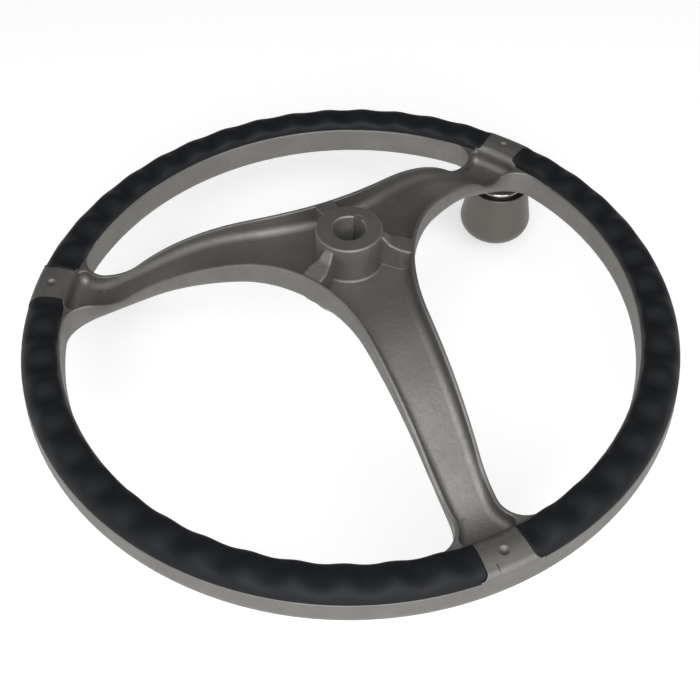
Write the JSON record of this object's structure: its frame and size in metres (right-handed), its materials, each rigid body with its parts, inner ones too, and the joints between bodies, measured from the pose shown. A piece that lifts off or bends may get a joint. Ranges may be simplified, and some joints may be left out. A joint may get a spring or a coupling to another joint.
{
  "type": "boat steering wheel",
  "caption": "Dished cast steering wheel for a boat helm: spoked, with moulded finger grips around the rim, a keyed taper hub with a front cap, and a control knob that turns freely.",
  "frame": {"origin": "middle of the hub's back face, on the axis of the helm shaft's tapered hole", "axes": "+Z along the wheel's axis, out of the back of the hub towards the helm; +X along the spoke that carries the knob"},
  "size_m": [0.4078, 0.3936, 0.1392],
  "materials": {
    "cast_steel": "cast stainless steel, bead-blasted to a soft satin, with a fine grain on the webs",
    "grip": "moulded, matte and near black",
    "knob_steel": "turned stainless steel, satin",
    "polished_steel": "turned stainless steel, polished",
    "washer": "plain black",
    "bush": "plain bearing plastic",
    "seal": "plain black"
  },
  "bodies": {
    "wheel": {"wheel_casting": "cast_steel", "finger_grip_1": "grip", "finger_grip_2": "grip", "finger_grip_3": "grip", "knob_spindle": "polished_steel", "thrust_washer": "washer", "retaining_washer": "polished_steel", "lock_nut": "polished_steel", "hub_cap": "polished_steel", "hub_cap_ring": "seal"},
    "knob": {"knob_shell": "knob_steel", "inner_bush": "bush", "outer_bush": "bush", "knob_end_cap": "knob_steel"}
  },
  "joints": [
    {"name": "knob_spin", "type": "hinge", "parent": "wheel", "child": "knob", "pos_m": [0.18545, 0, -0.1], "axis": [0, 0, 1], "continuous": true}
  ]
}
